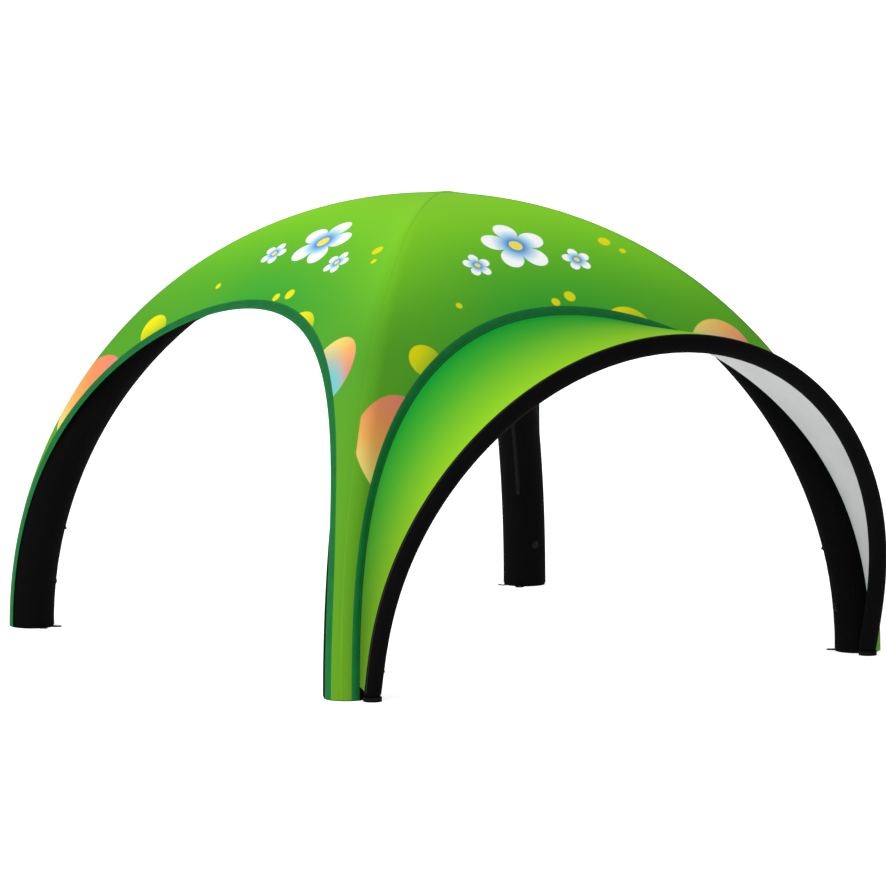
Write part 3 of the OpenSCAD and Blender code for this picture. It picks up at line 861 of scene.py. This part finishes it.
def lean_turn(p):
    """A direction in the arch's plane, as it stands in the frame."""
    s, c = math.sin(AWNING_LEAN), math.cos(AWNING_LEAN)
    return np.stack([p[..., 0], -p[..., 1] * s - p[..., 2] * c, p[..., 1] * c - p[..., 2] * s], -1)


def on_arch(p):
    return lean_turn(p) + np.array([0, AXIS_Y - AWNING_FOOT_Y, 0])


def arch_tube(name, r, sides, steps, material, relief=None):
    """A tube along the arch with round ends; phi is 0 on its outer side."""
    phi = sides[None]
    ends = np.radians([87, 75, 60, 45, 30, 15])
    t = np.linspace(ARCH_FROM, math.pi - ARCH_FROM, steps + 1)
    stations = np.concatenate([0 * ends + t[0], t, 0 * ends + t[-1]])
    tilt = np.concatenate([-ends, 0 * t, ends[::-1]])
    centre, along, out = arch_curve(stations), arch_along(stations), arch_out(stations)
    run = run_length(centre + along * (r * np.sin(tilt))[:, None])
    swell = relief(phi, run[:, None]) if relief else 0
    radius = (r + swell * (tilt[:, None] == 0)) * np.cos(tilt)[:, None]
    around_it = np.cos(phi)[..., None] * out[:, None] + np.sin(phi)[..., None] * ARCH_NORMAL
    middle = centre + along * (r * np.sin(tilt))[:, None]
    rings = middle[:, None] + radius[..., None] * around_it
    cloth = stacked(run[:, None] + 0 * radius, phi * r + 0 * radius, 0)
    return loft(name, on_arch(rings), material, cloth=cloth)


def arch_relief(phi, along):
    return tube_relief(phi, along, ARCH_SEAMS, 171, depth=0.0011)


awning_arch = arch_tube("awning_arch_sleeve", ARCH_VISUAL_R, ring_angles(48, ARCH_SEAMS, 0.06),
                        420, sleeve_cloth, arch_relief)
stands_for(awning_arch, "awning_sleeve", "awning_arch", slot="sleeve_cloth")
awning_air = arch_tube("awning_arch_bladder", ARCH_BLADDER_R, even_ring(24), 120, film)
stands_for(awning_air, "awning_bladder", "awning_arch", slot="bladder_film")

# ---- awning: cloth between the opening's zip and the arch ----
CLOTH_FROM = math.radians(3.8)
AWNING_DIP = 0.012
AWNING_STAND = 0.0016
NEAR_TUCK = 0.002
NEAR_DROP = 0.0016
NEAR_LEAD = math.radians(8.5)
ARCH_PER_RADIAN = 2.4
RIM_FADE = 0.05


def near_edge(t, drop=0.0):
    """Where the awning's cloth meets the front opening, for an angle t along the arch."""
    partner = t - NEAR_LEAD * np.sin(2 * t)
    x, z = door_edge(partner, NEAR_TUCK)
    return skin_points(x, z, SKIN_R - drop) + np.array([0, AXIS_Y - SIDE_GAP, 0])


def touch_angle(t, r):
    """Angle round the tube at which a line from the opening touches it."""
    to_near = near_edge(t) - on_arch(arch_curve(t))
    u = (to_near * lean_turn(arch_out(t))).sum(-1)
    w = (to_near * lean_turn(-ARCH_NORMAL)).sum(-1)
    return np.arctan2(u, w) + np.arccos(np.minimum(1, r / np.hypot(u, w)))


def far_edge(t, r, turn=0.0):
    """Points at r round the arch, at the angle where the cloth touches it plus turn."""
    angle = touch_angle(t, r) + turn
    out, behind = lean_turn(arch_out(t)), lean_turn(-ARCH_NORMAL)
    towards = out * np.sin(angle)[:, None] + behind * np.cos(angle)[:, None]
    return on_arch(arch_curve(t)) + r * towards


def awning_grid(share, t):
    """The cloth's outer and inner face; share runs from the opening, 0, to the arch, 1."""
    near = near_edge(t, NEAR_DROP)[:, None]
    far = far_edge(t, AWNING_R + AWNING_STAND + CLOTH)[:, None]
    straight = near * (1 - share) + far * share
    out = share[..., 0]
    run = t[:, None] * ARCH_PER_RADIAN
    dip = np.sin(math.pi * out) * (1 - out) * (0.4 + 0.6 * np.sin(t)[:, None] ** 2)
    ripple = np.sin(run / 0.014 + 3 * smooth_noise(run * 3, out * 2, 41))
    edge = np.exp(-out / RIM_FADE) + np.exp(-(1 - out) / RIM_FADE)
    slack = smooth_noise(run * 1.6, out * 2.2, 47) * np.sin(math.pi * out)
    inside = (out > 0) & (out < 1)
    lower = -AWNING_DIP * dip + 0.0004 * ripple * edge * inside + 0.0022 * slack
    along = np.gradient(straight, axis=0)
    across = np.gradient(straight, axis=1)
    normal = unit(np.cross(across, along))
    outward = straight * np.array([1, 0, 1])
    normal *= np.sign((normal * outward).sum(-1, keepdims=True))
    outer_face = straight + normal * lower[..., None]
    return outer_face, outer_face - normal * CLOTH


arch_t = np.linspace(CLOTH_FROM, math.pi - CLOTH_FROM, 321)
cloth_share = np.linspace(0, 1, 31)[None, :, None]
upper_face, lower_face = awning_grid(cloth_share, arch_t)
across_run = np.linalg.norm(np.diff(upper_face, axis=1), axis=-1)
across_run = np.concatenate([0 * across_run[:, :1], np.cumsum(across_run, axis=1)], axis=1)
along_run = run_length(upper_face[:, -1])[:, None]
share_flat = cloth_share[..., 0] + 0 * along_run
awning_cloth = shell("awning_cloth", upper_face, lower_face, awning_print_and_painted_shade("awning_print_and_painted_shade"), lining,
                     flat=stacked(share_flat, upper_face[..., 2], 0),
                     cloth=stacked(along_run, across_run, 0))
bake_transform(awning_cloth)
# The cloth's own share from the opening to the arch is kept in its flat map; the cloth is attached to no
# body.
stands_for(awning_cloth, "awning_canopy", None, slot="awning_cloth")

# the pocket hem that joins the cloth to the arch
HEM_TURNS = np.radians([-13, -12, -5, 2, 9, 16, 17, 16, 9, 2, -5, -12])
HEM_LIFT = [0.0006, 0.0016, 0.0013, 0.0032, 0.0013, 0.0016, 0.0006] + [0.0001] * 5
HEM_BEYOND = 0.01
hem_t = np.linspace(CLOTH_FROM - HEM_BEYOND, math.pi - CLOTH_FROM + HEM_BEYOND, 361)
hem_rings = np.stack([far_edge(hem_t, AWNING_R + lift, turn)
                      for turn, lift in zip(HEM_TURNS, HEM_LIFT)], 1)
hem_cloth = stitched_tape("awning_hem_cloth", BLACK_CLOTH, linear(70, 70, 72), [-0.010, 0.014])
hem_along = run_length(hem_rings[:, 0])[:, None]
awning_hem = loft("awning_arch_hem", hem_rings, hem_cloth,
                  cloth=stacked(hem_along, (HEM_TURNS * AWNING_R)[None], 0))
stands_for(awning_hem, None, "awning_arch", slot="sleeve_cloth")

# ---- zips: tape, with teeth that reach past each other from both sides ----
TOOTH_PITCH = 0.0045
TOOTH_LENGTH = 0.0026
TOOTH_HEIGHT = 0.0019
TOOTH_BEVEL = 0.0003
TOOTH_OVERLAP = 0.2


def teeth(place, length, half_width, material, name):
    """Teeth along a run; place(along, side, height) gives points from arrays of those."""
    count = int(length / TOOTH_PITCH)
    start = (np.arange(count) + 0.5) * TOOTH_PITCH
    left = (np.arange(count) % 2) * 2 - 1
    corners = []
    for u in (0.0, TOOTH_LENGTH):
        for side in (-TOOTH_OVERLAP, 1.0):
            for height in (0.0, TOOTH_HEIGHT):
                inset = TOOTH_BEVEL if height else 0.0
                corners.append(place(start + u + (inset if u == 0 else -inset),
                                     left * side * half_width, height + 0 * start))
    blocks = np.stack(corners, 1)
    return boxes(name, blocks, material, cloth=0 * blocks)


zip_enamel = solid_material("zip_enamel", linear(10, 10, 11), 0.45, worn=linear(52, 52, 54),
                            Specular_IOR_Level=0.2)
zip_black = solid_material("zip_tooth_black", linear(10, 10, 11), 0.5, Specular_IOR_Level=0.15)
zip_green = solid_material("zip_tooth_green", linear(12, 88, 40), 0.5, Specular_IOR_Level=0.15)
ZIP_RIB = 0.0016
zip_tape_black = stitched_tape("zip_tape_black", linear(6, 6, 7), linear(22, 22, 23),
                               [-0.0096, 0.0096], rib=ZIP_RIB)
zip_tape_green = stitched_tape("zip_tape_green", linear(14, 98, 46), THREAD_GREEN, [0.0118],
                               rib=ZIP_RIB)

LEG_ZIP = (math.radians(14), math.radians(78))
LEG_ZIP_LIFT = 0.0005
LEG_TEETH_LIFT = 0.0017
LEG_ZIP_R = LEG_AXIS_R - LEG_R - LEG_ZIP_LIFT
TAPE_SECTION = [(-0.012, 0.0), (-0.012, 0.0007), (-0.0112, 0.0011), (-0.0045, 0.0008), (-0.0034, 0.0013),
                (0.0034, 0.0013), (0.0045, 0.0008), (0.0112, 0.0011), (0.012, 0.0007), (0.012, 0.0)]
for i, corner in enumerate(CORNERS):
    a = np.linspace(*LEG_ZIP, 241)[:, None]
    side, rise = section_columns(TAPE_SECTION)
    rings = turned(leg_local(a, -LEG_R - LEG_ZIP_LIFT - rise, side), CORNER_TURN[i])
    tape = loft("zip_tape_" + corner, rings, zip_tape_black, cloth=stacked(a * LEG_ZIP_R, side, 0))
    stands_for(tape, "leg_zip_tape_" + corner, slot="zip_tape")

    def on_leg_zip(along, side, height, turn=CORNER_TURN[i]):
        angle = LEG_ZIP[0] + along / LEG_ZIP_R
        return turned(leg_local(angle, -LEG_R - LEG_TEETH_LIFT - height, side), turn)

    zip_length = (LEG_ZIP[1] - LEG_ZIP[0]) * LEG_ZIP_R
    row = teeth(on_leg_zip, zip_length - TOOTH_PITCH, 0.003, zip_black, "zip_teeth_" + corner)
    stands_for(row, None, slot="zip_tape")

DOOR_ZIP_SECTION = [(-0.0005, -0.0014), (-0.0005, 0.0004), (0.0005, 0.0009), (0.0125, 0.0009),
                    (0.0145, 0.0004), (0.018, 0.0002), (0.018, -0.0014)]
door_tape = edge_loft("awning_zip_tape_front", DOOR_ZIP_SECTION, 0, zip_tape_green, steps=400)
stands_for(door_tape, "awning_zip_tape", slot="zip_tape")
DOOR_TEETH_IN = 0.0045
DOOR_TEETH_LIFT = 0.0009
fine_t = np.linspace(0, math.pi, 4001)
fine_x, fine_z = door_edge(fine_t, DOOR_TEETH_IN)
door_run = run_length(skin_points(fine_x, fine_z, SKIN_R))


def on_door_zip(along, side, height):
    t = np.interp(along, door_run, fine_t)
    x, z = door_edge(t, DOOR_TEETH_IN + side)
    return on_side(skin_points(x, z, SKIN_R + DOOR_TEETH_LIFT + height), 0)


door_teeth = teeth(on_door_zip, door_run[-1] - TOOTH_PITCH, 0.0028, zip_green, "awning_zip_teeth")
stands_for(door_teeth, None, slot="zip_tape")

AWNING_AREA = round(grid_area(upper_face), 2)


# ---- straps: webbing that loops round a ring's bar ----
STRAP_W = 0.032
STRAP_THICK = 0.0012
LOOP_R = 0.0039


def strap(name, path, place):
    """Webbing along a path of (out, up) points; place puts it in the frame."""
    along = run_length(path)
    ahead = unit(np.gradient(path, axis=0))
    normal = np.stack([-ahead[:, 1], ahead[:, 0]], -1)
    half, edge = STRAP_W / 2, STRAP_THICK * 0.35
    section = [(-half, 0.0), (-half + edge, 0.5), (half - edge, 0.5), (half, 0.0),
               (half - edge, -0.5), (-half + edge, -0.5)]
    rings = []
    for side, share in section:
        p = path + normal * share * STRAP_THICK
        rings.append(place(p[:, 0], side + 0 * along, p[:, 1]))
    across = np.array([s for s, _ in section]) + half
    return loft(name, np.stack(rings, 1), black_webbing,
                cloth=stacked(along[:, None], across[None], 0))


def eased(start, start_way, end, end_way):
    """A smooth path between two points that leaves and arrives in set directions."""
    u = np.linspace(0, 1, 10)[:, None]
    start, end = np.asarray(start, float), np.asarray(end, float)
    pull = np.linalg.norm(end - start)
    leaving = (u ** 3 - 2 * u ** 2 + u) * pull * np.asarray(start_way)
    arriving = (u ** 3 - u ** 2) * pull * np.asarray(end_way)
    return ((2 * u ** 3 - 3 * u ** 2 + 1) * start + leaving
            + (3 * u ** 2 - 2 * u ** 3) * end + arriving)


def loop_path(start, centre, lower, upper, lead):
    """Out at one height, round a bar and back at another height."""
    angles = np.radians(np.linspace(-125, 125, 25))
    turn = np.stack([centre[0] + LOOP_R * np.cos(angles), centre[1] + LOOP_R * np.sin(angles)], -1)
    ways = np.stack([-np.sin(angles), np.cos(angles)], -1)
    leave, back = (centre[0] - lead, lower), (centre[0] - lead, upper)
    out = np.stack([np.linspace(start, leave[0], 8), np.full(8, lower)], -1)
    home = np.stack([np.linspace(leave[0], start, 8), np.full(8, upper)], -1)
    return np.concatenate([out[:-1], eased(leave, (1, 0), turn[0], ways[0])[:-1], turn,
                           eased(turn[-1], ways[-1], back, (-1, 0))[1:], home[1:]])


PAD_R = 0.136
LOOP_OUT = PAD_R + 0.044
LOOP_Z = 0.0052
TAB_TURN = math.radians(130)
for i, corner in enumerate(CORNERS):
    def on_tab(out, side, up, degrees=CORNER_TURN[i]):
        s, c = math.sin(TAB_TURN), math.cos(TAB_TURN)
        return turned(stacked(LEG_AXIS_R + out * c - side * s, out * s + side * c, up), degrees)

    path = loop_path(PAD_R + 0.0006, (LOOP_OUT, LOOP_Z), 0.0016, 0.0032, 0.014)
    tab = strap("anchor_tab_" + corner, path, on_tab)
    stands_for(tab, "anchor_tabs" if i == 0 else None, slot="webbing")

CROWN_FACE = LEG_BASE + LEG_AXIS_R - LEG_R
LAMP_DROP = 0.016


def under_crown(down, side, out):
    return stacked(side, AXIS_Y + out, CROWN_FACE - down)


lamp_path = loop_path(0.0042, (LAMP_DROP, 0.0), -0.0008, 0.0008, 0.008)
lamp_strap = strap("lamp_strap", lamp_path, under_crown)
stands_for(lamp_strap, None, slot="webbing")

# the sewn patch under the crossing, a square with round corners: rings as (inset, height down)
PATCH_HALF = 0.045
PATCH_CORNER_R = 0.012
PATCH_SECTION = [(0.012, 0.0015), (0.0008, 0.0016), (0.0, 0.0022), (0.0008, 0.0036),
                 (0.003, 0.0040), (0.012, 0.0040)]
corner_turns = np.radians(np.concatenate([np.linspace(0, 90, 7) + q for q in (0, 90, 180, 270)]))
corner_ways = np.stack([np.cos(corner_turns), np.sin(corner_turns)], -1)
corner_mid = np.repeat(np.array([[1, 1], [-1, 1], [-1, -1], [1, -1]]), 7, axis=0)
patch_rings = []
for inset, down in PATCH_SECTION:
    flat = corner_mid * (PATCH_HALF - PATCH_CORNER_R) + (PATCH_CORNER_R - inset) * corner_ways
    patch_rings.append(under_crown(down, flat[:, 0], flat[:, 1]))
patch_rings = np.stack(patch_rings)
patch_webbing = stitched_tape("patch_webbing", BLACK_CLOTH, linear(72, 72, 74),
                              [-0.039, -0.012, 0.012, 0.039], rib=WEBBING_RIB)
patch = loft("crown_patch", patch_rings, patch_webbing, cloth=patch_rings - np.array([0, AXIS_Y, 0]))
stands_for(patch, "crown_tab", slot="webbing")

# ---- moulded, rubber and metal parts keep their CAD shapes ----
rubber = solid_material("foot_rubber", linear(9, 9, 10), 0.8, grain=900.0, depth=0.0002,
                        worn=linear(28, 27, 26), Specular_IOR_Level=0.06)
plastic = solid_material("valve_plastic", linear(8, 8, 9), 0.5, grain=1500.0, depth=0.00004,
                         Specular_IOR_Level=0.12)
cap_plastic = solid_material("cap_plastic", linear(9, 9, 10), 0.46, grain=1200.0, depth=0.00005,
                             Specular_IOR_Level=0.12)
grey_plastic = solid_material("plunger_plastic", linear(122, 124, 128), 0.42, grain=1500.0,
                              depth=0.00004)
steel = solid_material("ring_steel", linear(178, 180, 184), 0.28, grain=700.0, depth=0.00004,
                       worn=linear(120, 118, 114), Metallic=1.0)
brass = solid_material("eyelet_brass", linear(196, 160, 88), 0.3, grain=900.0, depth=0.00004,
                       worn=linear(128, 100, 56), Metallic=1.0)
FINISHES = {"foot_pad_": rubber, "awning_foot_cups": rubber,
            "valve_body_": plastic, "awning_valve_body": plastic,
            "valve_cap_": cap_plastic, "awning_valve_cap": cap_plastic,
            "valve_plunger_": grey_plastic, "awning_valve_plunger": grey_plastic,
            "d_ring_": steel, "lamp_ring": steel,
            "leg_zip_slider_": zip_enamel, "peg_eyelets": brass}
for name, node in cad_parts.items():
    for start, material in FINISHES.items():
        if name.startswith(start):
            for socket in node.material_slots:
                socket.material = material

# ---- the stage ----
FLOOR_HALF = 420.0
FLOOR_GLOW = 0.66
SKY_STRENGTH = 0.55
KEY_FROM = Vector((-0.8, -0.1, 0.6))
KEY_STRENGTH = 1.9
KEY_SPREAD = math.radians(50)


def stage_material(name):
    """A matt white floor that glows a little, so that it stays white in shade."""
    g = Graph(name)
    place = g.node("ShaderNodeTexCoord").outputs["Object"]
    tone = g.mix(g.noise(place, 0.8), (0.88, 0.88, 0.88), (0.9, 0.9, 0.9))
    g.shader.inputs["Emission Color"].default_value = (1, 1, 1, 1)
    return g.finish(tone, 0.9, Specular_IOR_Level=0.0, Emission_Strength=FLOOR_GLOW)


floor = new_mesh("floor", [(-FLOOR_HALF, -FLOOR_HALF, 0), (FLOOR_HALF, -FLOOR_HALF, 0),
                           (FLOOR_HALF, FLOOR_HALF, 0), (-FLOOR_HALF, FLOOR_HALF, 0)],
                 [[0, 1, 2, 3]], [stage_material("stage_white")])

world = bpy.data.worlds.new("studio")
world.use_nodes = True
world.node_tree.nodes["Background"].inputs["Color"].default_value = (1, 1, 1, 1)
world.node_tree.nodes["Background"].inputs["Strength"].default_value = SKY_STRENGTH
bpy.context.scene.world = world

key = bpy.data.objects.new("key", bpy.data.lights.new("key", "SUN"))
key.data.energy = KEY_STRENGTH
key.data.angle = KEY_SPREAD
key.rotation_mode = "QUATERNION"
key.rotation_quaternion = KEY_FROM.to_track_quat("Z", "Y")
bpy.context.scene.collection.objects.link(key)

# ---- the camera, at the photograph's viewing angle ----
CAMERA_AZIMUTH = math.radians(-32.83)
CAMERA_ELEVATION = math.radians(6.34)
CAMERA_DISTANCE = 49.65
CAMERA_TARGET = Vector((0, AXIS_Y, 1.4))
back = Vector((math.sin(CAMERA_AZIMUTH) * math.cos(CAMERA_ELEVATION),
               -math.cos(CAMERA_AZIMUTH) * math.cos(CAMERA_ELEVATION),
               math.sin(CAMERA_ELEVATION)))
camera = bpy.data.objects.new("camera", bpy.data.cameras.new("camera"))
camera.data.sensor_width = 36
camera.data.lens = 318.2
camera.data.shift_x = 0.0034
camera.data.shift_y = -0.0269
camera.data.clip_end = 2000
camera.location = CAMERA_TARGET + back * CAMERA_DISTANCE
camera.rotation_mode = "QUATERNION"
camera.rotation_quaternion = (-back).to_track_quat("-Z", "Y")
bpy.context.scene.collection.objects.link(camera)
bpy.context.scene.camera = camera
bpy.context.scene.view_settings.view_transform = "Standard"
